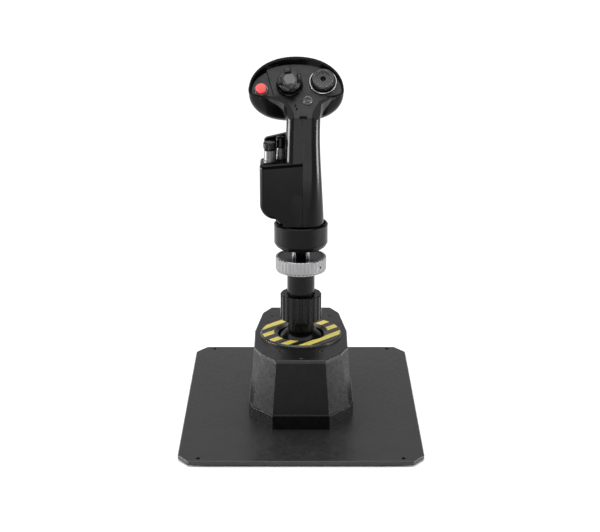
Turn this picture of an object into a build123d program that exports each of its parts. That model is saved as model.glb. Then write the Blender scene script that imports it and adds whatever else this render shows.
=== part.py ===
"""Desktop flight joystick: heavy plate, faceted gimbal base, extension tube and right-hand grip.

Frame: millimetres, +Z up, the pilot sits on the -Y side, +X is the pilot's right.
The origin is the centre of the plate's footprint on the table. The stick's axis is at y = AXIS_Y.
Pieces of the stick and grip are drawn about that axis and moved there when they are written.
"""

import os
from math import cos, pi, radians, sin

from build123d import *

os.makedirs("parts", exist_ok=True)

# ---------------------------------------------------------------- driving dimensions
PLATE_W, PLATE_D, PLATE_T = 228.0, 285.0, 4.0
FOOT_H = 1.5
PLATE_TOP = FOOT_H + PLATE_T
PLATE_HOLE_X, PLATE_HOLE_Y, PLATE_HOLE_R = 94.5, 136.0, 2.25
AXIS_Y = 4.0  # the stick's vertical axis

PLINTH_TOP = 20.5
HOUSING_TOP = 70.8
BASE_TOP = 73.8
WALL = 3.0
# right-hand half of each faceted outline, front to back
PLINTH_HALF = [(27.5, -74.0), (48.0, -52.0), (51.0, -38.0), (51.0, 16.0), (44.0, 72.0), (35.0, 88.0)]
TOP_HALF = [(23.6, -66.0), (38.5, -47.2), (45.6, -30.0), (46.0, 14.0), (39.5, 66.0), (31.0, 82.0)]
TOP_SCREWS = [(-20.5, -41.7), (20.5, -41.7), (-29.5, 55.5), (29.5, 55.5)]
PLATE_SCREWS = [(-32.0, -46.0), (32.0, -46.0), (-32.0, 52.0), (32.0, 52.0)]

LAMP_Y = -61.0
BOARD_SCREWS = [(-22.0, 53.0), (22.0, 53.0), (-22.0, 79.0), (22.0, 79.0)]
BOARD_Z = 12.0
INLET_Z = 15.4

PIVOT_Z = 52.0  # both tilt axes cross here
POST_R = 37.0  # the centring springs hook to posts at this radius
DOME_R = 31.0
DOME_T = 1.8
RING_R, RING_HOLE_R, RING_T = 40.2, 26.6, 3.0
RUN = 0.05  # radial running clearance of pins in bores

STUB_R = 13.2
NUT_Z0, NUT_Z1, NUT_R, NUT_FLUTES = 91.5, 117.2, 20.3, 20
TUBE_R = 13.6
LOCK_Z0, LOCK_Z1, LOCK_R, LOCK_FLUTES = 142.0, 156.0, 25.0, 40
COLLAR_Z0, COLLAR_Z1, COLLAR_R = 164.5, 190.0, 26.2
PIN_R, PIN_ANGLES = 9.0, (-137.0, -43.0, 43.0, 137.0)  # locating pins between tube and grip

GRIP_Z0 = 177.0
SPLIT_X = 1.4  # the grip halves meet here
SHELL = 2.5
# top seam of the grip halves, left to right
SEAM = [(-45.0, 289.0), (-14.5, 289.5), (-7.0, 296.0), (11.5, 296.0), (18.8, 289.5), (45.0, 289.0)]
POD_TOP, POD_FRONT = 252.6, -20.0
POST_Z = POD_TOP - 0.9  # the side switches' posts stand in sockets this deep
GRIP_SCREWS = [(-9.0, 191.5), (9.0, 191.5), (4.0, 281.0)]  # y and height
SIDE_HAT, SIDE_BUTTON = (-29.8, -7.0), (-19.6, 0.2)
SIDE_HAT_H, SIDE_SCALE = POD_TOP + 13.4, 0.78
TRIGGER_X, TRIGGER_Y, TRIGGER_Z = 2.0, 31.5, 291.0  # trigger pin
PADDLE_X, PADDLE_Y, PADDLE_Z = 0.6, 27.6, 216.0  # paddle pin

# head: the rim plane and the control panel's plane meet at the near rim
RIM_TILT, PANEL_TILT = 36.0, 42.0  # elevation of each plane's normal
HEAD_X, RIM_Y, RIM_Z = -4.5, 1.6, 312.2
PANEL_T, PANEL_LIP = 2.5, 0.8
STEM_U, STEM_HALF, STEM_V = 6.6, 8.6, -24.6
STEP = 2.0  # the weapon button's facet lies this much lower
# controls on the panel: u, v
CASTLE, TRIM, WEAPON, EVENT = (-6.3, 13.8), (25.5, 17.1), (-33.2, 9.2), (11.0, -3.2)
CASTLE_H, TRIM_H = 5.6, 2.6  # height of each hat's pivots over the panel
PANEL_HOLES = [(CASTLE, 2.6), (TRIM, 2.5), (WEAPON, 2.1), (EVENT, 1.5)]


# ---------------------------------------------------------------- small helpers
def cyl(r, z0, z1, x=0.0, y=0.0):
    return Pos(x, y, (z0 + z1) / 2) * Cylinder(r, z1 - z0)


def cone(r0, r1, z0, z1, x=0.0, y=0.0):
    return Pos(x, y, (z0 + z1) / 2) * Cone(r0, r1, z1 - z0)


def box(x0, x1, y0, y1, z0, z1):
    return Pos((x0 + x1) / 2, (y0 + y1) / 2, (z0 + z1) / 2) * Box(x1 - x0, y1 - y0, z1 - z0)


def rod_x(r, x0, x1, y, z):
    return Pos((x0 + x1) / 2, y, z) * Rot(0, 90, 0) * Cylinder(r, x1 - x0)


def rod_y(r, y0, y1, x, z):
    return Pos(x, (y0 + y1) / 2, z) * Rot(90, 0, 0) * Cylinder(r, y1 - y0)


def spun(points):
    """Solid of revolution about Z from (radius, z) corners."""
    face = make_face(Plane.XZ * Polyline(*points, close=True))
    return revolve(face, Axis.Z)


def mirrored(half):
    """Closed outline from its right-hand half, given front to back."""
    return [(x, y) for x, y in half] + [(-x, y) for x, y in reversed(half)]


def inset(half, amount):
    """The same half outline moved inwards along its own edges."""
    full = mirrored(half)
    moved = []
    for i in range(len(half)):
        ax, ay = full[i - 1]
        bx, by = full[i]
        cx, cy = full[(i + 1) % len(full)]
        n1 = Vector(-(by - ay), bx - ax, 0).normalized()
        n2 = Vector(-(cy - by), cx - bx, 0).normalized()
        mid = (n1 + n2).normalized()
        moved.append((bx + mid.X * amount / mid.dot(n1), by + mid.Y * amount / mid.dot(n1)))
    return moved


def prism(half, z0, z1):
    face = make_face(Polyline(*mirrored(half), close=True))
    return Pos(0, 0, z0) * extrude(face, z1 - z0)


def facet_loft(half0, z0, half1, z1):
    lower = Pos(0, 0, z0) * make_face(Polyline(*mirrored(half0), close=True))
    upper = Pos(0, 0, z1) * make_face(Polyline(*mirrored(half1), close=True))
    return loft([lower, upper], ruled=True)


def try_fillet(shape, edges, amount):
    try:
        done = fillet(edges, amount)
        return done if done.is_valid else shape
    except Exception:
        return shape


def around(count, start=0.0):
    return [start + 360.0 * i / count for i in range(count)]


def save(name, shape, on_stick=True):
    pieces = shape if isinstance(shape, list) else [shape]
    solids = [s for piece in pieces for s in (Pos(0, AXIS_Y if on_stick else 0, 0) * piece).solids()]
    export_step(solids[0] if len(solids) == 1 else Compound(children=solids), f"parts/{name}.step")


# ---------------------------------------------------------------- plate and feet
def desktop_plate():
    corner_x, corner_y = 11.0, 14.0
    half = [
        (PLATE_W / 2 - corner_x, -PLATE_D / 2),
        (PLATE_W / 2, -PLATE_D / 2 + corner_y),
        (PLATE_W / 2, PLATE_D / 2 - corner_y),
        (PLATE_W / 2 - corner_x, PLATE_D / 2),
    ]
    plate = prism(half, FOOT_H, PLATE_TOP)
    plate = fillet(plate.edges().filter_by(Axis.Z), 4.0)
    plate = chamfer(plate.faces().sort_by(Axis.Z)[-1].edges(), 0.8)
    for sx in (-1, 1):
        for sy in (-1, 1):
            plate -= cyl(PLATE_HOLE_R, 0, 9, sx * PLATE_HOLE_X, sy * PLATE_HOLE_Y)
    for x, y in PLATE_SCREWS:
        plate -= cyl(2.2, 0, 9, x, y)
        plate -= cone(4.2, 2.2, FOOT_H, FOOT_H + 2.4, x, y)
    return plate


def plate_feet():
    pads = []
    for sx in (-1, 1):
        for y in (-112.0, 0.0, 112.0):
            pad = box(sx * 88 - 12, sx * 88 + 12, y - 12, y + 12, 0, FOOT_H)
            pads.append(fillet(pad.edges().filter_by(Axis.Z), 5.0))
    return pads


def plate_screws():
    screws = []
    for x, y in PLATE_SCREWS:
        head = cone(4.1, 2.1, FOOT_H, FOOT_H + 2.4, x, y)
        head -= Pos(x, y, FOOT_H) * extrude(RegularPolygon(1.6, 6), 1.4)
        screws.append(head + cyl(2.1, FOOT_H + 2.0, 14.0, x, y))
    return screws


# ---------------------------------------------------------------- base
def base_pan():
    pan = prism(PLINTH_HALF, PLATE_TOP, PLINTH_TOP)
    pan = chamfer(pan.faces().sort_by(Axis.Z)[-1].edges(), 0.7)
    pan -= prism(inset(PLINTH_HALF, WALL), PLATE_TOP + WALL, PLINTH_TOP + 1)
    for x, y in PLATE_SCREWS:
        pan += cyl(5.0, PLATE_TOP + 1, 15.5, x, y)
        pan -= cyl(2.15, PLATE_TOP - 1, 16.0, x, y)
    for a in around(4):  # spring posts
        pan += cyl(3.5, PLATE_TOP + 1, 30.0, POST_R * cos(radians(a)), AXIS_Y + POST_R * sin(radians(a)))
    for x, y in BOARD_SCREWS:
        pan += cyl(2.5, PLATE_TOP + 1, BOARD_Z, x, y)
        pan -= cyl(1.1, 9.5, BOARD_Z + 1, x, y)
    inlet = Pos(0, 86.0, INLET_Z) * Rot(90, 0, 0) * extrude(SlotOverall(10.4, 4.6), 8, both=True)
    return pan - inlet


def base_housing():
    foot = inset(PLINTH_HALF, 1.0)
    shell = facet_loft(foot, PLINTH_TOP, TOP_HALF, HOUSING_TOP)
    inner = facet_loft(inset(foot, WALL), PLINTH_TOP, inset(TOP_HALF, WALL), HOUSING_TOP)
    return shell - inner


def base_top_plate():
    plate = prism(TOP_HALF, HOUSING_TOP, BASE_TOP)
    plate = chamfer(plate.faces().sort_by(Axis.Z)[-1].edges(), 0.8)
    plate -= cyl(28.5, HOUSING_TOP - 1, BASE_TOP + 1, 0, AXIS_Y)
    for x, y in TOP_SCREWS:
        plate -= cyl(1.7, HOUSING_TOP - 1, BASE_TOP + 1, x, y)
        plate -= cyl(2.8, BASE_TOP - 2.0, BASE_TOP + 1, x, y)
    return plate - cyl(1.2, BASE_TOP - 1.0, BASE_TOP + 1, 0, LAMP_Y)


def top_screws():
    screws = []
    for x, y in TOP_SCREWS:
        head = cyl(2.6, BASE_TOP - 2.0, BASE_TOP - 0.2, x, y)
        head -= Pos(x, y, BASE_TOP - 1.4) * extrude(RegularPolygon(1.35, 6), 2)
        screws.append(head + cyl(1.6, 62.0, BASE_TOP - 1.7, x, y))
    return screws


def status_lamp():
    return cyl(1.15, BASE_TOP - 1.0, BASE_TOP + 0.1, 0, LAMP_Y)


def warning_ring():
    bevel, lip = 1.4, 22.9
    top = BASE_TOP + RING_T
    return spun([
        (lip, BASE_TOP + 0.1), (28.0, BASE_TOP), (RING_R, BASE_TOP), (RING_R, top - bevel),
        (RING_R - bevel, top), (RING_HOLE_R, top), (lip, BASE_TOP + 1.0),
    ])


def warning_stripes():
    """Slanted bars of yellow film on the ring's flat top, cut to the ring."""
    thickness, width = 0.12, 7.4
    z0 = BASE_TOP + RING_T
    field = cyl(RING_R - 1.5, z0, z0 + thickness) - cyl(RING_HOLE_R + 0.2, z0 - 1, z0 + 1)
    bars = []
    for offset in (-33.0, -17.5, -2.0, 13.5, 29.0):
        bar = Rot(0, 0, 45) * Pos(0, -offset, z0) * Box(110, width, 2)
        bars += [s for s in (field & bar).solids() if s.volume > 0.5]
    return bars


def gimbal_frame():
    """Cast frame hung under the top plate; its two uprights carry the pitch bearings."""
    half = [(26, -49), (40, -25), (40, 30), (34.5, 62)]
    frame = Pos(0, -AXIS_Y, 0) * prism(half, HOUSING_TOP - 4, HOUSING_TOP)
    frame -= cyl(32.5, HOUSING_TOP - 5, HOUSING_TOP + 1)
    for s in (-1, 1):
        x0, x1 = sorted((s * 33, s * 39))
        upright = box(x0, x1, -12, 12, PIVOT_Z - 10, HOUSING_TOP - 3)
        frame += chamfer(upright.edges().filter_by(Axis.X).group_by(Axis.Z)[0], 4)
    frame -= rod_x(6.5, -45, 45, 0, PIVOT_Z)
    for s in (-1, 1):  # pads for the pitch sensor's card
        y0, y1 = sorted((s * 7.0, s * 9.5))
        frame += box(38.5, 42.2, y0, y1, PIVOT_Z - 7, PIVOT_Z + 7)
    for x, y in TOP_SCREWS:
        frame -= cyl(1.65, 60, HOUSING_TOP + 1, x, y - AXIS_Y)
    return frame


def bearing(r_out, r_in, width):
    """Ball bearing as one closed ring with its shield recesses."""
    ring = Cylinder(r_out, width) - Cylinder(r_in, width + 1)
    for s in (-1, 1):
        ring -= Pos(0, 0, s * width / 2) * (Cylinder(r_out - 0.8, 0.6) - Cylinder(r_in + 0.8, 2))
    return ring


def pitch_bearings():
    return [Pos(s * 36.0, 0, PIVOT_Z) * Rot(0, 90, 0) * bearing(6.5, 3.0, 5.0) for s in (-1, 1)]


def pitch_yoke():
    ring = box(-23, 23, -21, 21, PIVOT_Z - 5, PIVOT_Z + 5)
    ring = chamfer(ring.edges().filter_by(Axis.Z), 7)
    hole = box(-16.5, 16.5, -15, 15, PIVOT_Z - 6, PIVOT_Z + 6)
    ring -= chamfer(hole.edges().filter_by(Axis.Z), 4)
    ring -= rod_y(4.0, -25, 25, 0, PIVOT_Z)
    for s in (-1, 1):
        x0, x1 = sorted((s * 21, s * 39.5))
        ring += rod_x(3.0 - RUN, x0, x1, 0, PIVOT_Z)
    return ring


def roll_bearings():
    return [Pos(0, s * 18.0, PIVOT_Z) * Rot(90, 0, 0) * bearing(4.0, 2.0, 5.0) for s in (-1, 1)]


def pitch_magnet():
    return rod_x(2.4, 39.5, 40.9, 0, PIVOT_Z)


def pitch_sensor():
    card = box(42.2, 43.6, -9.5, 9.5, PIVOT_Z - 7, PIVOT_Z + 7)
    return card + box(41.4, 42.2, -2.2, 2.2, PIVOT_Z - 2.2, PIVOT_Z + 2.2)


def roll_sensor():
    return box(-6, 6, -22.6, -21.0, PIVOT_Z - 5, PIVOT_Z + 5)


def gimbal_core():
    core = box(-10, 10, -10, 10, PIVOT_Z - 9, PIVOT_Z + 9)
    core = chamfer(core.edges().filter_by(Axis.Z), 2)
    for s in (-1, 1):
        y0, y1 = sorted((s * 9, s * 20.0))
        core += rod_y(2.0 - RUN, y0, y1, 0, PIVOT_Z)
    return core + cyl(4.0, 21.0, PIVOT_Z) + cyl(6.5, 20.0, 28.0)


def controller_board():
    board = box(-26, 26, 50, 82, BOARD_Z, BOARD_Z + 1.6)
    for x, y in BOARD_SCREWS:
        board -= cyl(1.3, BOARD_Z - 1, BOARD_Z + 3, x, y)
    board += box(-7, 7, 58, 72, BOARD_Z + 1.6, BOARD_Z + 2.8)
    return board


def board_screws():
    return [cyl(1.05, BOARD_Z - 2, BOARD_Z + 1.6, x, y) + cyl(2.0, BOARD_Z + 1.6, BOARD_Z + 3.0, x, y)
            for x, y in BOARD_SCREWS]


def usb_socket():
    outer = Pos(0, 82.9, INLET_Z) * Rot(90, 0, 0) * extrude(SlotOverall(9.0, 3.2), 4.6, both=True)
    inner = Pos(0, 84.0, INLET_Z) * Rot(90, 0, 0) * extrude(SlotOverall(8.4, 2.6), 4.6, both=True)
    tongue = box(-3.4, 3.4, 79.0, 86.4, INLET_Z - 0.35, INLET_Z + 0.35)
    return (outer - inner) + tongue


# ---------------------------------------------------------------- neck of the stick
def dust_dome():
    """Spherical cover with a raised strap running fore and aft."""
    ball = Pos(0, 0, PIVOT_Z) * Sphere(DOME_R - 0.7)
    strap = (Pos(0, 0, PIVOT_Z) * Sphere(DOME_R)) & box(-12.6, 12.6, -32, 32, 60, 95)
    dome = ball + strap - Pos(0, 0, PIVOT_Z) * Sphere(DOME_R - DOME_T - 0.7)
    dome &= box(-32, 32, -32, 32, PIVOT_Z + 14.6, 100)
    return dome - cyl(8.0, 60, 100)


def stick_stub():
    stub = cyl(STUB_R, 76.0, 105.0) - Pos(0, 0, PIVOT_Z) * Sphere(DOME_R)
    return stub + cyl(8.0, PIVOT_Z + 9, 95.0)


def fluted(r, z0, z1, count, depth, width):
    """Cylinder with rounded grip flutes cut along its side."""
    body = chamfer(cyl(r, z0, z1).edges(), 0.8)
    centre = r + width * 0.5 - depth
    cutters = [cyl(width * 0.5, z0 - 1, z1 + 1, centre * cos(radians(a)), centre * sin(radians(a)))
               for a in around(count)]
    return body - Compound(children=cutters)


def coupling_nut():
    nut = fluted(NUT_R, NUT_Z0, NUT_Z1, NUT_FLUTES, 1.3, 3.6)
    nut -= cyl(STUB_R + 0.3, NUT_Z0 - 1, 105.4)
    nut -= cyl(17.0, 104.7, 109.7)
    return nut - cyl(TUBE_R + 0.3, 109, NUT_Z1 + 1)


def extension_tube():
    tube = cyl(TUBE_R, 105.0, 147.0) + cyl(16.7, 105.0, 109.4)
    return tube - cyl(TUBE_R - 3.0, 104, 148)


def tube_socket():
    """Plate on top of the tube that carries the contact socket."""
    plate = cyl(22.2, 147.0, 155.4) - cyl(6.0, 151.0, 156)
    for a in PIN_ANGLES:
        plate -= cyl(1.95, 150.4, 156, PIN_R * cos(radians(a)), PIN_R * sin(radians(a)))
    return plate


def lock_ring():
    ring = fluted(LOCK_R, LOCK_Z0 + 1.2, LOCK_Z1, LOCK_FLUTES, 0.75, 2.6)
    ring += cyl(LOCK_R - 0.8, LOCK_Z0, LOCK_Z0 + 1.4)
    ring -= cyl(TUBE_R + 0.3, LOCK_Z0 - 1, 146.8)
    ring -= cyl(22.5, 146.7, LOCK_Z1 + 1)
    for a in around(3, -40.0):
        ring -= Rot(0, 0, a) * rod_x(1.3, 15, 30, 0, (LOCK_Z0 + LOCK_Z1) / 2)
    return ring


# ---------------------------------------------------------------- grip foot
def grip_collar():
    return spun([
        (10.0, COLLAR_Z0), (18.5, COLLAR_Z0), (22.0, COLLAR_Z0 + 1.1), (24.6, COLLAR_Z0 + 3.0),
        (COLLAR_R, COLLAR_Z0 + 6.2), (COLLAR_R, COLLAR_Z1 - 1.0), (COLLAR_R - 1.0, COLLAR_Z1),
        (24.1, COLLAR_Z1), (23.7, COLLAR_Z1 - 0.6), (23.7, GRIP_Z0), (10.0, GRIP_Z0),
    ])


def grip_plug():
    return cyl(5.8, 151.4, 159.0) + cyl(7.0, 155.4, COLLAR_Z0) + cyl(10.0, COLLAR_Z0, GRIP_Z0)


def locating_pins():
    return [cyl(1.9, 150.6, COLLAR_Z0, PIN_R * cos(radians(a)), PIN_R * sin(radians(a))) for a in PIN_ANGLES]


# ---------------------------------------------------------------- grip column
# height, left, right, near (pilot) side, far (finger) side, near corner radius, far corner radius
COLUMN = [
    (GRIP_Z0, -21.6, 22.0, -20.6, 21.6, 19.0, 19.0),
    (192.0, -21.4, 22.2, -20.6, 22.0, 17.5, 18.5),
    (212.0, -20.4, 21.2, -20.2, 23.0, 13.5, 16.5),
    (236.0, -17.2, 19.8, -19.6, 24.0, 10.5, 15.0),
    (262.0, -14.8, 18.4, -18.4, 25.0, 9.2, 14.0),
    (288.0, -13.9, 18.2, -17.6, 26.0, 9.0, 13.5),
    (312.0, -13.9, 18.2, -17.6, 26.0, 9.0, 13.5),
]


def column_section(row, shrink=0.0):
    z, x0, x1, y0, y1, near, far = row
    x0, x1, y0, y1 = x0 + shrink, x1 - shrink, y0 + shrink, y1 - shrink
    face = make_face(Polyline((x0, y0), (x1, y0), (x1, y1), (x0, y1), close=True))
    face = fillet(face.vertices().sort_by(Axis.Y)[:2], near - shrink)
    face = fillet([v for v in face.vertices() if abs(v.Y - y1) < 1e-6], far - shrink)
    return Pos(0, 0, z) * face


def column(shrink=0.0):
    return loft([column_section(row, shrink) for row in COLUMN])


def side_pod(shrink=0.0):
    """Switch housing on the pilot's left, moulded with the left half; its top rises to the column."""
    s = shrink
    left, top, bottom = -39.3 + s, POD_TOP - 0.9 - s, 199.0 + s
    face = make_face(Plane.XZ * Polyline((left, top), (SPLIT_X, POD_TOP + 2.4 - s), (SPLIT_X, 186.0),
                                         (-15.0, 187.0), (-25.0, bottom - 1.4), (left, bottom), close=True))
    face = fillet([face.vertices().sort_by_distance((left, 0, bottom))[0]], 15.0 - s)
    face = fillet([face.vertices().sort_by_distance((left, 0, top))[0]], 3.0 - s)
    pod = Pos(0, 14.0 - s, 0) * extrude(face, 14.0 - POD_FRONT - 2 * s, dir=(0, -1, 0))
    front = [e for e in pod.edges() if e.center().Y < POD_FRONT + 2 + s and e.center().X < -12]
    pod = try_fillet(pod, front, 5.0 - s)
    rear = [e for e in pod.edges() if e.center().Y > 13.6 - s and e.center().X < -12]
    return try_fillet(pod, rear, 6.0 - s)


def switch_guard():
    """Raised wall behind the two side switches, its top sloping up to the column."""
    outline = Polyline((-35.5, POD_TOP - 2), (-35.5, 270.5), (-33.0, 272.5), (-12.0, 277.5),
                       (-12.0, POD_TOP - 2), close=True)
    wall = Pos(0, 12.0, 0) * extrude(make_face(Plane.XZ * outline), 6.0, dir=(0, -1, 0))
    return try_fillet(wall, wall.edges().filter_by(Axis.Z), 2.0)


def below_seam(x0, x1):
    """Everything under the halves' top seam between two X values."""
    outline = [(x0, 170.0)] + [(x, z) for x, z in SEAM if x0 < x < x1] + [(x1, 170.0)]
    inner = [(x, z) for x, z in SEAM if x0 < x < x1]
    outline.insert(1, (x0, seam_height(x0)))
    outline.insert(len(inner) + 2, (x1, seam_height(x1)))
    return Pos(0, 60, 0) * extrude(make_face(Plane.XZ * Polyline(*outline, close=True)), 120, dir=(0, -1, 0))


def seam_height(x):
    for (xa, za), (xb, zb) in zip(SEAM, SEAM[1:]):
        if xa <= x <= xb:
            return za + (zb - za) * (x - xa) / (xb - xa)
    return SEAM[0][1]


def largest(shape):
    return shape.solids().sort_by(SortBy.VOLUME)[-1]


def grip_halves():
    """Left half with the switch pod, and right half: two hollow mouldings."""
    outer, inner = column(), column(SHELL)
    pod_outer, pod_inner = side_pod(), side_pod(SHELL)
    left = outer + pod_outer + switch_guard() - inner - pod_inner
    right = outer - inner
    groove = (outer - column(0.4)) & box(SPLIT_X - 0.22, SPLIT_X + 0.22, -30, 30, 170, 300)
    left, right = left - groove, right - groove
    left -= Rot(0, 0, -45) * rod_y(1.7, -28.0, -19.0, 0, 193.0)  # cosmetic screw recess
    for y, z in GRIP_SCREWS:
        left += rod_x(3.4, -25, SPLIT_X, y, z) & outer
        right += rod_x(3.4, SPLIT_X, 25, y, z) & outer
        left -= rod_x(1.65, -40, SPLIT_X + 1, y, z) + rod_x(2.9, -40, -10.5, y, z)
        right -= rod_x(1.55, SPLIT_X - 1, 12.0, y, z)
    for (x, y), socket, bore in ((SIDE_HAT, 5.75, 2.0), (SIDE_BUTTON, 4.45, 1.9)):
        left -= cyl(socket, POST_Z, POD_TOP + 8, x, y) + cyl(bore, POD_TOP - 6, POD_TOP + 3, x, y)
    left = (left & below_seam(-44, SPLIT_X)) - bowl()
    right = (right & below_seam(SPLIT_X, 44)) - bowl()
    return largest(left), largest(right)


def grip_screws():
    screws = []
    for y, z in GRIP_SCREWS:
        head = rod_x(2.8, -12.5, -10.5, y, z) - rod_x(1.3, -14, -11.6, y, z)
        screws.append(head + rod_x(1.5, -10.6, 11.5, y, z))
    return screws


def grip_spar():
    """Metal inner frame that stiffens the grip and carries the electronics."""
    spar = cyl(12.0, GRIP_Z0, GRIP_Z0 + 4)
    spar += box(-7.5, -4.5, -6, 8, GRIP_Z0, 282)
    for y, z in GRIP_SCREWS:
        spar -= rod_x(3.6, -10, 0, y, z)
    return spar


def grip_board():
    board = box(-4.5, -2.9, -5.5, 7.5, 184, 280)
    for y, z in GRIP_SCREWS:
        board -= rod_x(3.6, -10, 0, y, z)
    chips = box(-2.9, -1.7, -3.5, 3.5, 206, 216) + box(-2.9, -1.7, -3.5, 3.5, 236, 241)
    return board + chips


# ---------------------------------------------------------------- head
# depth behind the rim, half width, lowest v, widest v, highest v
HEAD = [
    (0.0, 45.2, -0.6, 7.5, 43.0),
    (8.0, 45.0, -5.0, 7.0, 42.0),
    (16.0, 43.4, -8.8, 6.0, 39.4),
    (25.0, 38.4, -11.0, 5.0, 33.0),
    (33.0, 29.5, -9.4, 4.0, 25.0),
    (39.5, 16.0, -4.5, 3.0, 13.5),
]


def tilted(elevation):
    """Plane through the near rim: x to the right, y up the face, z out towards the thumb."""
    t = radians(elevation)
    return Plane(origin=(HEAD_X, RIM_Y, RIM_Z), x_dir=(1, 0, 0), z_dir=(0, -cos(t), sin(t)))


def head_outline(row, shrink=0.0):
    depth, half, low, wide, high = row
    points = []
    for i in range(40):
        a = 2 * pi * (i + 0.5) / 40
        c, s = cos(a), sin(a)
        reach = (high - wide - shrink) if s > 0 else (wide - low - shrink)
        power = 0.95 if s > 0 else 0.72
        u = (half - shrink) * abs(c) ** power
        v = reach * abs(s) ** power
        points.append((u if c > 0 else -u, wide + (v if s > 0 else -v)))
    return make_face(Spline(*points, periodic=True))


def bowl(shrink=0.0, lift=0.0):
    rim = tilted(RIM_TILT)
    sections = [rim * Pos(0, 0, lift) * head_outline(HEAD[0], shrink)] if lift else []
    for row in HEAD:
        depth = row[0] - (shrink if row[0] > 30 else 0)
        sections.append(rim * Pos(0, 0, -depth) * head_outline(row, shrink))
    return loft(sections)


def panel_slab(w0, w1, v0=-60.0, v1=60.0):
    """Everything between two heights over the panel plane."""
    return tilted(PANEL_TILT) * Pos(0, (v0 + v1) / 2, (w0 + w1) / 2) * Box(140, v1 - v0, w1 - w0)


def stem_outline(margin=0.0):
    """The panel's stem: narrow on the column, flaring in two curves to the near rim."""
    m = STEM_HALF + margin
    right = [(m, STEM_V), (m + 0.6, -17.0), (m + 4.4, -8.0), (m + 14.0, -1.4 - margin)]
    curves = []
    for s in (1, -1):
        points = [(STEM_U + s * x, y) for x, y in right]
        curves.append(Spline(*points, tangents=[(0, 1), (s, 0.1)]))
    ends = [c @ 1 for c in curves]
    sides = [Line(ends[0], (ends[0].X, 6.0)), Line((ends[0].X, 6.0), (ends[1].X, 6.0)),
             Line((ends[1].X, 6.0), ends[1])]
    return make_face([*curves, *sides, Line(curves[0] @ 0, curves[1] @ 0)])


def flare_outline():
    """Outside edge of the web that carries the near rim down onto the column."""
    curves = []
    for s, points in ((1, [(21.0, -20.0), (21.6, -13.0), (25.0, -6.5), (31.0, -2.4), (37.0, 0.2)]),
                      (-1, [(-8.0, -20.0), (-8.6, -13.0), (-12.4, -6.5), (-22.0, -2.4), (-35.0, 0.2)])):
        curves.append(Spline(*points, tangents=[(0, 1), (s, 0.1)]))
    return make_face([*curves, Line(curves[0] @ 1, curves[1] @ 1), Line(curves[0] @ 0, curves[1] @ 0)])


def on_panel(shape, u=0.0, v=0.0, w=0.0):
    return tilted(PANEL_TILT) * Pos(u, v, w) * shape


def stem_prism(margin, w0, w1):
    return on_panel(extrude(stem_outline(margin), w1 - w0, dir=(0, 0, 1)), w=w0)


def mouth(gap=0.0):
    """Dished opening of the head over the control panel."""
    rim = tilted(RIM_TILT)
    return loft([rim * Pos(0, 0, 1.0) * head_outline((0, 43.6, 1.0, 7.5, 41.4), gap),
                 rim * Pos(0, 0, -9.0) * head_outline((0, 41.0, 1.0, 7.5, 31.5), gap)])


def head_shell():
    neck = (column() & box(-30, 30, -30, 40, 285, 312)) - below_seam(-44, 44)
    web = on_panel(extrude(flare_outline(), 24.0 + PANEL_LIP, dir=(0, 0, 1)), w=-24.0) - below_seam(-44, 44)
    outer = bowl() + ((neck + web) & panel_slab(-80, PANEL_LIP))
    inner = bowl(SHELL) & panel_slab(-80, -PANEL_T)
    inner += column(SHELL + 0.4) & panel_slab(-80, -2 * PANEL_T) & box(-30, 30, -30, 40, 285, 311)
    inner += stem_prism(-1.2, -14.0, 0)
    shell = outer - inner - mouth()
    for x0, x1 in ((TRIGGER_X - 10.5, TRIGGER_X - 7.0), (TRIGGER_X + 10.6, TRIGGER_X + 14.0)):
        ear = (rod_x(4.2, x0, x1, TRIGGER_Y, TRIGGER_Z)
               + box(x0, x1, TRIGGER_Y - 4.2, TRIGGER_Y + 4.2, 280, TRIGGER_Z))
        shell += ear & outer
    shell -= rod_x(1.5, TRIGGER_X - 9.0, TRIGGER_X + 13.0, TRIGGER_Y, TRIGGER_Z)
    shell -= rod_x(3.4, TRIGGER_X + 6.0, TRIGGER_X + 10.6, TRIGGER_Y, TRIGGER_Z)
    shell -= box(TRIGGER_X - 6.0, TRIGGER_X + 6.0, 27.2, 60, 270, 301)
    shell -= on_panel(Cylinder(13.65, 12), *TRIM, w=6.0) + on_panel(Cylinder(7.3, 12), *WEAPON, w=6.0 - STEP)
    return largest(shell - stem_prism(0.0, -PANEL_T, 10))


def face_plate():
    """Control panel filling the bowl's mouth, with its stem running down onto the column."""
    inside = mouth(0.05)
    low = on_panel(
        extrude(make_face(Polyline((-60, -5), (-17.6, -5), (-32.1, 50), (-60, 50), close=True)), 60), w=-30)
    step = on_panel(
        extrude(make_face(Polyline((-60, -5), (-19, -5), (-33.5, 50), (-60, 50), close=True)), 10), w=-STEP)
    plate = (inside & panel_slab(-PANEL_T, 0)) + (inside & panel_slab(-PANEL_T - STEP, 0) & low) - step
    plate += stem_prism(-0.1, -PANEL_T, 0)
    for (u, v), r in PANEL_HOLES:
        plate -= on_panel(Cylinder(r, 30), u, v)
    return largest(plate)


# ---------------------------------------------------------------- thumb controls
def hat_ring(h, k=1.0):
    """Gimbal ring of a two-way hat: inner pins along u, outer pins along v."""
    ring = Cylinder(4.9, 2.4) - Cylinder(3.1, 4)
    for s in (-1, 1):
        ring += Pos(s * 2.2, 0, 0) * Rot(0, 90, 0) * Cylinder(0.75, 2.4)
        ring += Pos(0, s * 5.6, 0) * Rot(90, 0, 0) * Cylinder(0.75, 2.2)
    return Pos(0, 0, h) * scale(ring, k)


def hat_stem(h, foot, k=1.0):
    """Post that carries the ring on its cross bore."""
    return cyl(2.5 * k, foot, h + 1.5 * k) - Pos(0, 0, h) * Rot(0, 90, 0) * Cylinder(0.75 * k + RUN, 8)


def hat_hollow(h, k=1.0):
    bore = Pos(0, 0, h) * Rot(90, 0, 0) * Cylinder(0.75 * k + RUN, 13.8 * k)
    return cyl(5.3 * k, h - 9, h + 2.5 * k) + bore


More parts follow.
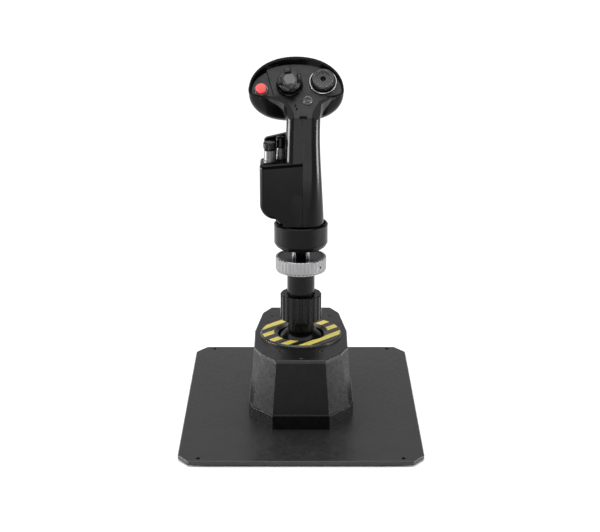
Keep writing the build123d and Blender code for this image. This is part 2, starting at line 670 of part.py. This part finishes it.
def castle_post():
    return hat_stem(CASTLE_H, -8.0) + cyl(4.0, -8.0, -7.0)


def castle_cap():
    skirt = CASTLE_H - 0.4
    cap = chamfer(cyl(11.0, skirt, skirt + 4.2).edges(), 0.7)
    cap += chamfer(cyl(8.0, skirt + 4.0, skirt + 5.6).edges().group_by(Axis.Z)[-1], 0.6)
    for a in around(4, 12.0):
        fin = box(7.4, 11.4, -3.2, 3.2, skirt + 1.0, skirt + 8.6)
        cap += Rot(0, 0, a) * chamfer(fin.edges().group_by(Axis.Z)[-1], 1.2)
    return cap - hat_hollow(CASTLE_H)


def castle_bezel():
    return spun([(7.2, 0), (12.0, 0), (12.0, 0.9), (11.0, 1.8), (7.2, 1.8)])


def trim_cap():
    cap = spun([
        (0, 2.0), (11.1, 2.0), (11.1, 6.3), (10.4, 7.0), (8.8, 7.0), (5.5, 6.4), (2.6, 6.2), (2.3, 5.7), (0, 5.7),
    ])
    for a in around(36):
        cap -= Rot(0, 0, a) * Pos(11.5, 0, 4) * Cylinder(0.6, 10)
    return cap - hat_hollow(TRIM_H)


def trim_bezel():
    return spun([(11.8, 0), (13.4, 0), (13.4, 1.3), (12.9, 1.8), (12.3, 1.8), (11.8, 1.3)])


def weapon_bezel():
    nut = extrude(RegularPolygon(7.0, 6), 1.8)
    return chamfer(nut.edges().group_by(Axis.Z)[-1], 0.5) - Cylinder(5.1, 10)


def weapon_button():
    return spun([
        (0, -6.5), (3.4, -6.5), (3.4, -5.4), (2.0, -5.4), (2.0, 1.9), (4.8, 1.9), (4.8, 5.4), (4.2, 6.0), (0, 6.3),
    ])


def micro_switch():
    return box(-3.2, 3.2, -6.5, 6.5, -13.0, -8.8) + box(-0.8, 0.8, -1.5, 1.5, -8.8, -8.4)


def event_bezel():
    return spun([(3.3, 0), (4.6, 0), (4.6, 0.9), (4.1, 1.4), (3.3, 1.4)])


def event_button():
    return spun([
        (0, -5.0), (2.6, -5.0), (2.6, -4.2), (1.4, -4.2), (1.4, 1.0), (2.9, 1.0), (2.9, 2.2), (2.5, 2.6),
        (1.9, 2.6), (1.5, 1.6), (0, 1.6),
    ])


def side_hat_post():
    z = POST_Z
    body = spun([(0, z), (5.75, z), (5.75, z + 2.2), (5.4, z + 2.6), (5.2, z + 11.9), (0, z + 11.9)])
    return body + hat_stem(SIDE_HAT_H, z - 2.0, SIDE_SCALE)


def side_hat():
    z = SIDE_HAT_H - 0.8
    cap = chamfer(cyl(6.1, z, z + 6.2).edges(), 0.6)
    for a in around(14):
        cap -= Rot(0, 0, a) * Pos(6.5, 0, z + 4) * Cylinder(0.7, 12)
    return cap - hat_hollow(SIDE_HAT_H, SIDE_SCALE)


def side_button_guide():
    z = POST_Z
    return spun([(1.9, z), (4.45, z), (4.45, z + 2.0), (3.5, z + 12.6), (1.9, z + 12.6)])


def side_button():
    z = POST_Z
    return spun([
        (0, z - 4), (2.6, z - 4), (2.6, z - 3), (1.82, z - 3), (1.82, z + 14.2), (4.4, z + 14.2), (4.4, z + 22.4),
        (3.8, z + 23.4), (0, z + 23.8),
    ])


# ---------------------------------------------------------------- trigger, paddle and springs
def lever(points, x, width):
    side = Plane.YZ * Polyline(*points, close=True)
    blade = Pos(x - width / 2, 0, 0) * extrude(make_face(side), width, dir=(1, 0, 0))
    return try_fillet(blade, blade.edges().filter_by(Axis.X), 0.9)


def trigger():
    """Finger lever hanging from its pin inside the head."""
    blade = lever([
        (28.4, 295.0), (28.4, 284.0), (30.6, 275.0), (31.4, 267.0), (34.6, 260.8), (38.4, 261.8), (37.0, 268.5),
        (36.6, 277.0), (37.2, 286.0), (35.0, 295.0),
    ], TRIGGER_X, 11.0)
    return blade - rod_x(1.5 + RUN, -20, 20, TRIGGER_Y, TRIGGER_Z)


def lever_pins():
    return [rod_x(1.5, TRIGGER_X - 9.0, TRIGGER_X + 13.0, TRIGGER_Y, TRIGGER_Z),
            rod_x(1.5, PADDLE_X - 9.0, PADDLE_X + 12.4, PADDLE_Y, PADDLE_Z)]


def paddle():
    blade = lever([
        (25.4, 219.0), (25.4, 213.4), (27.8, 204.0), (31.0, 196.0), (34.6, 194.4), (36.2, 197.0), (32.4, 205.0),
        (30.6, 212.0), (30.2, 219.0),
    ], PADDLE_X, 13.0)
    return blade - rod_x(1.5 + RUN, -20, 20, PADDLE_Y, PADDLE_Z)


def paddle_bracket():
    base = box(PADDLE_X - 9.0, PADDLE_X + 12.4, 20, 24.2, 210.5, 221.5)
    for x0, x1 in ((PADDLE_X - 9.0, PADDLE_X - 7.0), (PADDLE_X + 10.4, PADDLE_X + 12.4)):
        base += box(x0, x1, 20, 30.6, 212.0, 220.0)
    base -= rod_x(1.5, -20, 20, PADDLE_Y, PADDLE_Z)
    return base - column() - box(-20, 20, 10, 22.6, 205, 225)


def coil(radius, wire, pitch, length):
    """Open wire coil along Z from the origin."""
    path = Helix(pitch=pitch, height=length, radius=radius)
    return sweep(Plane(origin=path @ 0, z_dir=path % 0) * Circle(wire), path=path)


def centring_springs():
    """Four close-wound extension springs between the stick's tail and the pan's posts."""
    start, end, turn = 7.2, POST_R - 4.2, 1.0
    outer = []
    for i in range(int((end - start) / turn)):
        z = start + i * turn
        outer += [(2.7, z), (3.1, z + 0.3), (3.1, z + 0.7)]
    last = outer[-1][1] + 0.3
    lying = Pos(0, 0, 24.0) * Rot(0, 90, 0) * spun([(2.1, start), *outer, (2.7, last), (2.1, last)])
    return [Rot(0, 0, a) * lying for a in around(4)]


def pin_spring(x0, length, y, z):
    return Pos(x0, y, z) * Rot(0, 90, 0) * coil(2.4, 0.35, 1.0, length)


def main():
    save("desktop_plate", desktop_plate(), False)
    save("plate_feet", plate_feet(), False)
    save("plate_screws", plate_screws(), False)
    save("base_pan", base_pan(), False)
    save("base_housing", base_housing(), False)
    save("base_top_plate", base_top_plate(), False)
    save("top_screws", top_screws(), False)
    save("status_lamp", status_lamp(), False)
    save("controller_board", controller_board(), False)
    save("board_screws", board_screws(), False)
    save("usb_socket", usb_socket(), False)
    for name, shape in (
        ("warning_ring", warning_ring()), ("warning_stripes", warning_stripes()),
        ("gimbal_frame", gimbal_frame()), ("pitch_bearings", pitch_bearings()),
        ("pitch_sensor_board", pitch_sensor()), ("pitch_yoke", pitch_yoke()),
        ("roll_bearings", roll_bearings()), ("pitch_magnet", pitch_magnet()),
        ("roll_sensor_board", roll_sensor()), ("gimbal_core", gimbal_core()),
        ("centring_springs", centring_springs()), ("dust_dome", dust_dome()), ("stick_stub", stick_stub()),
        ("coupling_nut", coupling_nut()), ("extension_tube", extension_tube()),
        ("tube_socket", tube_socket()),
        ("lock_ring", lock_ring()), ("grip_collar", grip_collar()), ("grip_plug", grip_plug()),
        ("locating_pins", locating_pins()), ("grip_screws", grip_screws()), ("grip_spar", grip_spar()),
        ("grip_board", grip_board()), ("head_shell", head_shell()), ("face_plate", face_plate()),
        ("trigger", trigger()), ("paddle", paddle()), ("lever_pins", lever_pins()),
        ("paddle_bracket", paddle_bracket()),
        ("trigger_spring", pin_spring(TRIGGER_X + 6.2, 4.0, TRIGGER_Y, TRIGGER_Z)),
        ("paddle_spring", pin_spring(PADDLE_X + 7.0, 3.0, PADDLE_Y, PADDLE_Z)),
    ):
        save(name, shape)
    left, right = grip_halves()
    save("grip_left_half", left)
    save("grip_right_half", right)
    for name, shape, (u, v), w in (
        ("castle_bezel", castle_bezel(), CASTLE, 0), ("castle_post", castle_post(), CASTLE, 0),
        ("castle_ring", hat_ring(CASTLE_H), CASTLE, 0), ("castle_cap", castle_cap(), CASTLE, 0),
        ("trim_bezel", trim_bezel(), TRIM, 0), ("trim_post", hat_stem(TRIM_H, -4.0), TRIM, 0),
        ("trim_ring", hat_ring(TRIM_H), TRIM, 0), ("trim_cap", trim_cap(), TRIM, 0),
        ("weapon_button", weapon_button(), WEAPON, -STEP),
        ("weapon_switch", micro_switch(), WEAPON, -STEP),
        ("event_button", event_button(), EVENT, 0),
    ):
        save(name, on_panel(shape, u, v, w))
    save("button_bezels", [on_panel(weapon_bezel(), *WEAPON, -STEP), on_panel(event_bezel(), *EVENT)])
    save("side_switch_posts",
         [Pos(*SIDE_HAT, 0) * side_hat_post(), Pos(*SIDE_BUTTON, 0) * side_button_guide()])
    save("side_hat_ring", Pos(*SIDE_HAT, 0) * hat_ring(SIDE_HAT_H, SIDE_SCALE))
    save("side_hat", Pos(*SIDE_HAT, 0) * side_hat())
    save("side_button", Pos(*SIDE_BUTTON, 0) * side_button())


main()
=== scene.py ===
"""Looks of a desktop flight joystick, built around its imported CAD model. Metres, +Z up, the pilot on -Y."""

import math

import bmesh
import bpy
from mathutils import Matrix, Vector


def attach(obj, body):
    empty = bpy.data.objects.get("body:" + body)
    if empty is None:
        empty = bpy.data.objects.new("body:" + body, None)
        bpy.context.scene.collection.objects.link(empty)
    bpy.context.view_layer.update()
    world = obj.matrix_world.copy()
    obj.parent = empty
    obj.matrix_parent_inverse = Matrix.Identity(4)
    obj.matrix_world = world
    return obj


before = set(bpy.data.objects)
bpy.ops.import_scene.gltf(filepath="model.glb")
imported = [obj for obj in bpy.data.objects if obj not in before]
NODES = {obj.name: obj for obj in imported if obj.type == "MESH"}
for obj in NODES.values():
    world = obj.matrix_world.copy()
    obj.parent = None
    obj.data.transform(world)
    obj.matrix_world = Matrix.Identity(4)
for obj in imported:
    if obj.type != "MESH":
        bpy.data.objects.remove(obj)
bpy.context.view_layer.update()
MM = 0.001
BEVEL_SAMPLES = 4


# ---------------------------------------------------------------- materials
class Shader:
    """Small builder for one node material."""

    def __init__(self, name):
        self.mat = bpy.data.materials.new(name)
        self.mat.use_nodes = True
        self.tree = self.mat.node_tree
        self.bsdf = self.tree.nodes["Principled BSDF"]
        self.coord = self.add("ShaderNodeTexCoord")

    def add(self, kind, **values):
        node = self.tree.nodes.new(kind)
        for key, value in values.items():
            if hasattr(node, key):
                setattr(node, key, value)
            else:
                node.inputs[key].default_value = value
        return node

    def link(self, out, into):
        self.tree.links.new(out, into)

    def noise(self, scale, detail=4.0, stretch=None):
        tex = self.add("ShaderNodeTexNoise", Scale=scale, Detail=detail)
        source = self.coord.outputs["Object"]
        if stretch:
            mapping = self.add("ShaderNodeMapping")
            mapping.inputs["Scale"].default_value = stretch
            self.link(source, mapping.inputs["Vector"])
            source = mapping.outputs["Vector"]
        self.link(source, tex.inputs["Vector"])
        return tex.outputs["Fac"]

    def ramp(self, fac, stops):
        node = self.add("ShaderNodeValToRGB")
        ramp = node.color_ramp
        while len(ramp.elements) < len(stops):
            ramp.elements.new(0.5)
        for element, (place, colour) in zip(ramp.elements, stops):
            element.position = place
            element.color = (*colour, 1.0)
        self.link(fac, node.inputs["Fac"])
        return node.outputs["Color"]

    def spread(self, fac, low, high, start=0.3, end=0.7):
        node = self.add("ShaderNodeMapRange")
        node.inputs["From Min"].default_value = start
        node.inputs["From Max"].default_value = end
        node.inputs["To Min"].default_value = low
        node.inputs["To Max"].default_value = high
        self.link(fac, node.inputs["Value"])
        return node.outputs["Result"]

    def edge(self, radius, gain=2.5):
        """Mask that is 1 on sharp edges."""
        bevel = self.add("ShaderNodeBevel", samples=BEVEL_SAMPLES, Radius=radius)
        geo = self.add("ShaderNodeNewGeometry")
        dot = self.add("ShaderNodeVectorMath", operation="DOT_PRODUCT")
        self.link(bevel.outputs["Normal"], dot.inputs[0])
        self.link(geo.outputs["Normal"], dot.inputs[1])
        flat = self.add("ShaderNodeMath", operation="SUBTRACT")
        flat.inputs[0].default_value = 1.0
        self.link(dot.outputs["Value"], flat.inputs[1])
        wide = self.add("ShaderNodeMath", operation="MULTIPLY", use_clamp=True)
        wide.inputs[1].default_value = gain
        self.link(flat.outputs["Value"], wide.inputs[0])
        return wide.outputs["Value"]

    def mix(self, fac, a, b):
        node = self.add("ShaderNodeMix", data_type="RGBA")
        self.link(fac, node.inputs["Factor"])
        for value, socket in ((a, node.inputs["A"]), (b, node.inputs["B"])):
            if isinstance(value, tuple):
                socket.default_value = (*value, 1.0)
            else:
                self.link(value, socket)
        return node.outputs["Result"]

    def bump(self, height, strength, distance, soft=0.0):
        node = self.add("ShaderNodeBump", Strength=strength, Distance=distance)
        self.link(height, node.inputs["Height"])
        if soft:
            bevel = self.add("ShaderNodeBevel", samples=BEVEL_SAMPLES, Radius=soft)
            self.link(bevel.outputs["Normal"], node.inputs["Normal"])
        self.link(node.outputs["Normal"], self.bsdf.inputs["Normal"])


def mix_ends(colour, change):
    """A darker and a lighter tone of one colour."""
    low = tuple(max(0.0, c * (1 - change)) for c in colour)
    high = tuple(min(1.0, c * (1 + change)) for c in colour)
    return low, high


CLOUD_SCALE, SMEAR_SCALE = 60.0, 220.0  # broad mottling of the colour, finer mottling of the gloss
GRAIN_HEIGHT = 0.00005
GROOVE_SHADE_TONE = 0.12  # painted shade: colour left at the bottom of a groove
GROOVE_SHADE_START, GROOVE_SHADE_END = 0.62, 0.9  # openness between which the painted groove shade fades out


def surface(name, colour, rough, metal=0.0, grain=(9000.0, 0.06), vary=0.15, rough_vary=0.06,
            soft=0.0003, edge_wear_and_highlight=None, stretch=None, specular=0.5, groove_shade=None):
    """Moulded, painted or machined surface: mottled colour and gloss, fine grain, soft edges.

    grain is (scale, strength); the edge tuple (edge radius, edge colour, gain) lightens edges as wear and painted
    edge highlight; the groove reach sets how far painted shade darkens the grooves.
    """
    s = Shader(name)
    cloud = s.noise(CLOUD_SCALE, 5.0)
    low, high = mix_ends(colour, vary)
    base = s.ramp(cloud, [(0.3, low), (0.7, high)])
    # edges lightened: partly wear, partly painted edge highlight
    if edge_wear_and_highlight:
        radius, wear_highlight_colour, gain = edge_wear_and_highlight
        base = s.mix(s.edge(radius, gain), base, wear_highlight_colour)
    # painted shade: ambient occlusion darkens the colour in grooves and flutes, where shade falls
    if groove_shade:
        shade = s.add("ShaderNodeAmbientOcclusion", samples=8)
        shade.inputs["Distance"].default_value = groove_shade
        dark = tuple(c * GROOVE_SHADE_TONE for c in colour)
        openness = s.spread(shade.outputs["AO"], 0.0, 1.0, GROOVE_SHADE_START, GROOVE_SHADE_END)
        base = s.mix(openness, dark, base)
    s.link(base, s.bsdf.inputs["Base Color"])
    smear = s.noise(SMEAR_SCALE, 3.0, stretch)
    gloss_range = s.spread(smear, max(0.02, rough - rough_vary), rough + rough_vary)
    s.link(gloss_range, s.bsdf.inputs["Roughness"])
    s.bsdf.inputs["Metallic"].default_value = metal
    s.bsdf.inputs["Specular IOR Level"].default_value = specular
    scale, strength = grain
    s.bump(s.noise(scale, 2.0, stretch), strength, GRAIN_HEIGHT, soft)
    return s.mat


def paint(mat, *names):
    """Give the named CAD nodes one material."""
    for name in names:
        slots = NODES[name].data.materials
        slots.clear()
        slots.append(mat)


# the lighter edges of the plate, base, top plate and warning ring are partly wear and partly painted edge
# highlight
plate = surface("plate_powder_coat", (0.012, 0.012, 0.013), 0.38, grain=(4200.0, 0.25), soft=0.0005,
                edge_wear_and_highlight=(0.0005, (0.10, 0.10, 0.10), 1.5))
casting = surface("base_satin_paint", (0.004, 0.004, 0.0045), 0.30, specular=0.11, grain=(5200.0, 0.2),
                  soft=0.0005, edge_wear_and_highlight=(0.0006, (0.16, 0.16, 0.16), 2.5))
top_paint = surface("top_plate_paint", (0.006, 0.006, 0.0065), 0.33, specular=0.35, grain=(5200.0, 0.2),
                    soft=0.0004, edge_wear_and_highlight=(0.0005, (0.18, 0.18, 0.18), 2.5))
ring_paint = surface("ring_paint", (0.010, 0.010, 0.010), 0.30, soft=0.0004,
                     edge_wear_and_highlight=(0.0005, (0.45, 0.42, 0.36), 3.0))
yellow = surface("stripe_film", (0.66, 0.55, 0.11), 0.40, vary=0.08, grain=(3000.0, 0.05), soft=0.0)
gloss = surface("grip_moulding", (0.0025, 0.0025, 0.0028), 0.15, specular=0.11, grain=(7000.0, 0.05),
                soft=0.0004, rough_vary=0.03)
satin = surface("satin_moulding", (0.003, 0.003, 0.0033), 0.17, specular=0.12, grain=(6500.0, 0.12),
                soft=0.0004)
panel = surface("panel_moulding", (0.014, 0.014, 0.0145), 0.40, specular=0.30, grain=(5200.0, 0.3),
                soft=0.0004)
tube = surface("anodised_tube", (0.004, 0.004, 0.0045), 0.17, specular=0.14, grain=(5000.0, 0.1),
               soft=0.0003, stretch=(1.0, 1.0, 8.0))
# the nut's and the lock ring's grooves get painted shade
nut = surface("nut_moulding", (0.004, 0.004, 0.0045), 0.24, groove_shade=0.002, specular=0.18,
              grain=(2500.0, 0.02), soft=0.0005)
alu = surface("machined_aluminium", (0.26, 0.26, 0.265), 0.20, groove_shade=0.0012, metal=1.0,
              grain=(2600.0, 0.10), soft=0.0003, stretch=(1.0, 1.0, 14.0))
bezel = surface("turned_bezel", (0.28, 0.28, 0.285), 0.20, metal=1.0, grain=(6000.0, 0.1), soft=0.0002)
steel = surface("bright_steel", (0.60, 0.60, 0.61), 0.26, metal=1.0, grain=(4000.0, 0.1))
black_steel = surface("black_steel", (0.03, 0.03, 0.032), 0.35, metal=0.6, grain=(4000.0, 0.1))
cast = surface("die_cast", (0.40, 0.40, 0.41), 0.45, metal=1.0, grain=(2500.0, 0.4))
board = surface("circuit_board", (0.02, 0.13, 0.06), 0.45, grain=(2500.0, 0.2))
rubber = surface("foot_rubber", (0.02, 0.02, 0.02), 0.75, grain=(2500.0, 0.5))
grey_cap = surface("grey_cap_rubber", (0.055, 0.055, 0.057), 0.40, grain=(5000.0, 0.35), soft=0.0004)
dark_cap = surface("dark_cap_moulding", (0.012, 0.012, 0.0125), 0.28, specular=0.35, soft=0.0004)
red = surface("red_button", (0.86, 0.07, 0.07), 0.34, vary=0.05, grain=(6000.0, 0.08), soft=0.0003)
lens = surface("lamp_lens", (0.10, 0.10, 0.11), 0.25, vary=0.05)
post_grey = surface("grey_post", (0.09, 0.09, 0.092), 0.3, grain=(6000.0, 0.1))

paint(plate, "desktop_plate")
paint(rubber, "plate_feet")
paint(casting, "base_pan", "base_housing")
paint(top_paint, "base_top_plate")
paint(ring_paint, "warning_ring")
paint(yellow, "warning_stripes")
paint(black_steel, "top_screws", "paddle_bracket")
paint(steel, "plate_screws", "board_screws", "usb_socket", "pitch_bearings", "roll_bearings", "pitch_magnet",
      "centring_springs", "trigger_spring", "paddle_spring", "locating_pins", "lever_pins", "grip_screws",
      "castle_ring", "trim_ring", "side_hat_ring")
paint(cast, "gimbal_frame", "pitch_yoke", "gimbal_core", "grip_spar")
paint(board, "controller_board", "pitch_sensor_board", "roll_sensor_board", "grip_board")
paint(lens, "status_lamp")
paint(satin, "dust_dome", "tube_socket", "grip_collar", "grip_plug", "castle_bezel", "castle_post", "trim_post",
      "weapon_switch", "side_hat", "side_button")
paint(tube, "stick_stub", "extension_tube", "paddle")
paint(nut, "coupling_nut")
paint(alu, "lock_ring")
paint(gloss, "head_shell", "grip_left_half", "grip_right_half", "trigger")
paint(panel, "face_plate")
paint(bezel, "trim_bezel")
paint(dark_cap, "castle_cap", "trim_cap")
paint(grey_cap, "event_button", "button_bezels")
paint(red, "weapon_button")
paint(post_grey, "side_switch_posts")


# ---------------------------------------------------------------- small details on the thumb controls
PANEL_TILT = math.radians(42.0)
PANEL_ORIGIN = Vector((-4.5, 5.6, 312.2)) * MM
pad_grey = surface("hat_pad_rubber", (0.12, 0.12, 0.124), 0.42, grain=(3500.0, 0.3), soft=0.0002)
# flat black standing in for shade: painted shadow in the trim hat's dimple, the gap under the stem and the marks
# on the stem
shadow_black = surface("painted_recess_shadow", (0.002, 0.002, 0.002), 0.5, specular=0.05)


def on_panel(u, v, w):
    """Frame on the control panel: x to the right, y up the face, z towards the thumb; millimetres."""
    t = PANEL_TILT
    turn = Matrix(((1, 0, 0), (0, math.sin(t), -math.cos(t)), (0, math.cos(t), math.sin(t)))).to_4x4()
    return Matrix.Translation(PANEL_ORIGIN) @ turn @ Matrix.Translation(Vector((u, v, w)) * MM)


def piece(name, mesh, place, mat, body):
    """Put a millimetre mesh at a place, riding on one body."""
    for vertex in mesh.verts:
        vertex.co = vertex.co * MM
    data = bpy.data.meshes.new(name)
    mesh.to_mesh(data)
    mesh.free()
    obj = bpy.data.objects.new(name, data)
    bpy.context.scene.collection.objects.link(obj)
    obj.matrix_world = place
    data.materials.append(mat)
    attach(obj, body)


def turned(points, steps=64, smooth=True):
    """Closed ring: a profile of (radius, height) turned round z."""
    mesh = bmesh.new()
    rings = []
    for i in range(steps):
        a = 2 * math.pi * i / steps
        rings.append([mesh.verts.new((r * math.cos(a), r * math.sin(a), z)) for r, z in points])
    for i, ring in enumerate(rings):
        after = rings[(i + 1) % steps]
        for j in range(len(points)):
            k = (j + 1) % len(points)
            mesh.faces.new((ring[j], after[j], after[k], ring[k])).smooth = smooth
    return mesh


SUNK = 0.15  # how far the foot of an added piece goes into the face under it


def bead(radius, thick, height):
    """Half-round ring standing on a face, its foot just inside it."""
    angles = [math.pi * i / 8 for i in range(9)]
    arc = [(radius + thick * math.cos(a), height + thick * math.sin(a)) for a in angles]
    return turned([(radius + thick, height - SUNK), *arc, (radius - thick, height - SUNK)])


def block(x, y, z, taper=0.75):
    """Low block with a smaller top, its foot just below zero."""
    mesh = bmesh.new()
    corners = ((-1, -1), (1, -1), (1, 1), (-1, 1))
    foot = [mesh.verts.new((sx * x / 2, sy * y / 2, -SUNK)) for sx, sy in corners]
    top = [mesh.verts.new((v.co.x * taper, v.co.y * taper, z)) for v in foot]
    mesh.faces.new(foot[::-1])
    mesh.faces.new(top)
    for i in range(4):
        j = (i + 1) % 4
        mesh.faces.new((foot[i], foot[j], top[j], top[i]))
    return mesh


def rise(r, start, run):
    """0 at a radius of start, 1 from start + run outwards."""
    return min(1.0, max(0.0, (r - start) / run))


def knurl():
    """Small pyramids in a diamond grid on the trim hat's dished top."""
    mesh = bmesh.new()
    step = 2.0 * 0.7071  # the 2 mm grid stands on its corner
    reach = 0.86 * 1.414  # centre of a pyramid to its corner
    hole, rim, count = 3.4, 9.6, 6
    for i in range(-count, count + 1):
        for j in range(-count, count + 1):
            x, y = (i - j) * step, (i + j) * step
            r = math.hypot(x, y)
            if not hole < r < rim:
                continue
            z = 6.2 + 0.2 * rise(r, 2.6, 2.9) + 0.6 * rise(r, 5.5, 3.3)
            ring = [mesh.verts.new((x + dx * reach, y + dy * reach, z - 0.25))
                    for dx, dy in ((-1, 0), (0, -1), (1, 0), (0, 1))]
            tip = mesh.verts.new((x, y, z + 0.62))
            mesh.faces.new(ring[::-1])
            for k in range(4):
                mesh.faces.new((ring[k], ring[(k + 1) % 4], tip))
    return mesh


# centres of the controls on the panel, and the middle line of its stem
CASTLE, TRIM, WEAPON, EVENT = (-6.3, 13.8), (25.5, 17.1), (-33.2, 9.2), (11.0, -3.2)
STEM_U = 6.6
piece("trim_knurl", knurl(), on_panel(*TRIM, 0), pad_grey, "trim_cap")
# the dimple is coloured with the painted shadow black
piece("trim_dimple", turned([(0.4, 5.6), (2.4, 5.6), (2.4, 6.3), (2.0, 6.0), (0.4, 5.85)]),
      on_panel(*TRIM, 0), shadow_black, "trim_cap")
piece("castle_pad", turned([(0.2, 10.6), (6.4, 10.6), (6.4, 11.1), (5.8, 11.6), (0.2, 11.6)], 6, False),
      on_panel(*CASTLE, 0), pad_grey, "castle_cap")
for k, (radius, height) in enumerate(((12.6, 0.1), (11.2, 1.6))):
    piece(f"castle_base_ring_{k}", bead(radius, 0.35, height), on_panel(*CASTLE, 0), satin, "stick")
piece("weapon_ring", bead(5.9, 0.35, 1.8), on_panel(*WEAPON, -2.0), bezel, "stick")
for k, (radius, height) in enumerate(((4.35, 0.9), (3.55, 1.4))):
    piece(f"event_ring_{k}", bead(radius, 0.22, height), on_panel(*EVENT, 0), bezel, "stick")
# thin black sheet: painted shadow in the gap under the stem
piece("stem_slot_shadow", block(7.4, 2.6, 0.12, 0.96), on_panel(STEM_U, -21.2, 0), shadow_black, "stick")
for k, (u, v) in enumerate(((-0.6, -8.6), (0.6, -12.2))):
    piece(f"panel_mark_{k}", block(1.5, 2.6, 0.1, 0.95), on_panel(u, v, 0), shadow_black, "stick")


# ---------------------------------------------------------------- stage, light and camera
def floor():
    mesh = bpy.data.meshes.new("floor")
    size = 8.0
    corners = [(-size, -size, 0), (size, -size, 0), (size, size, 0), (-size, size, 0)]
    mesh.from_pydata(corners, [], [(0, 1, 2, 3)])
    obj = bpy.data.objects.new("floor", mesh)
    bpy.context.scene.collection.objects.link(obj)
    s = Shader("pale_floor")
    pale = s.ramp(s.noise(0.7, 2.0), [(0.3, (0.90, 0.90, 0.90)), (0.7, (0.93, 0.93, 0.93))])
    s.link(pale, s.bsdf.inputs["Base Color"])
    s.bsdf.inputs["Roughness"].default_value = 0.9
    s.bsdf.inputs["Specular IOR Level"].default_value = 0.1
    mesh.materials.append(s.mat)


def area_light(name, place, target, size, power):
    data = bpy.data.lights.new(name, "AREA")
    data.shape = "RECTANGLE"
    data.size, data.size_y = size
    data.energy = power
    obj = bpy.data.objects.new(name, data)
    obj.location = place
    aim = Vector(target) - Vector(place)
    obj.rotation_euler = aim.to_track_quat("-Z", "Y").to_euler()
    bpy.context.scene.collection.objects.link(obj)


def sun(name, direction, strength, spread):
    data = bpy.data.lights.new(name, "SUN")
    data.energy = strength
    data.angle = math.radians(spread)
    obj = bpy.data.objects.new(name, data)
    obj.rotation_euler = Vector(direction).to_track_quat("-Z", "Y").to_euler()
    bpy.context.scene.collection.objects.link(obj)


def studio():
    """Dark room, an even light from above that whitens the floor, and soft boxes behind and to both sides."""
    world = bpy.data.worlds.new("studio")
    bpy.context.scene.world = world
    world.use_nodes = True
    background = world.node_tree.nodes["Background"]
    background.inputs["Color"].default_value = (1.0, 1.0, 1.0, 1.0)
    background.inputs["Strength"].default_value = 0.10
    sun("overhead", (0.05, -0.10, -1.0), 3.25, 70.0)
    foot, grip = (0.0, 0.0, 0.1), (0.0, 0.0, 0.20)
    area_light("backdrop", (0.0, 3.4, 1.1), foot, (5.0, 1.8), 11.0)
    area_light("backdrop_left", (-2.0, 2.4, 0.8), foot, (1.2, 1.4), 5.0)
    area_light("box_left", (-1.25, 0.0, 0.16), grip, (0.7, 0.30), 26.0)
    area_light("low_card", (-0.1, -1.08, 0.08), (0.0, 0.0, 0.24), (0.7, 0.14), 1.3)
    area_light("box_right", (1.15, -0.10, 0.16), grip, (0.55, 0.30), 18.0)


def camera():
    """In front of the plate and a little above the grip, looking down."""
    down = math.radians(18.37)
    data = bpy.data.cameras.new("camera")
    data.sensor_width = 36.0
    data.lens = 85.8
    obj = bpy.data.objects.new("camera", data)
    obj.location = (-0.0009, -1.3273, 0.5873)
    obj.rotation_euler = (math.pi / 2 - down, 0.0, 0.0)
    bpy.context.scene.collection.objects.link(obj)
    bpy.context.scene.camera = obj


floor()
studio()
camera()
bpy.context.scene.view_settings.view_transform = "Standard"
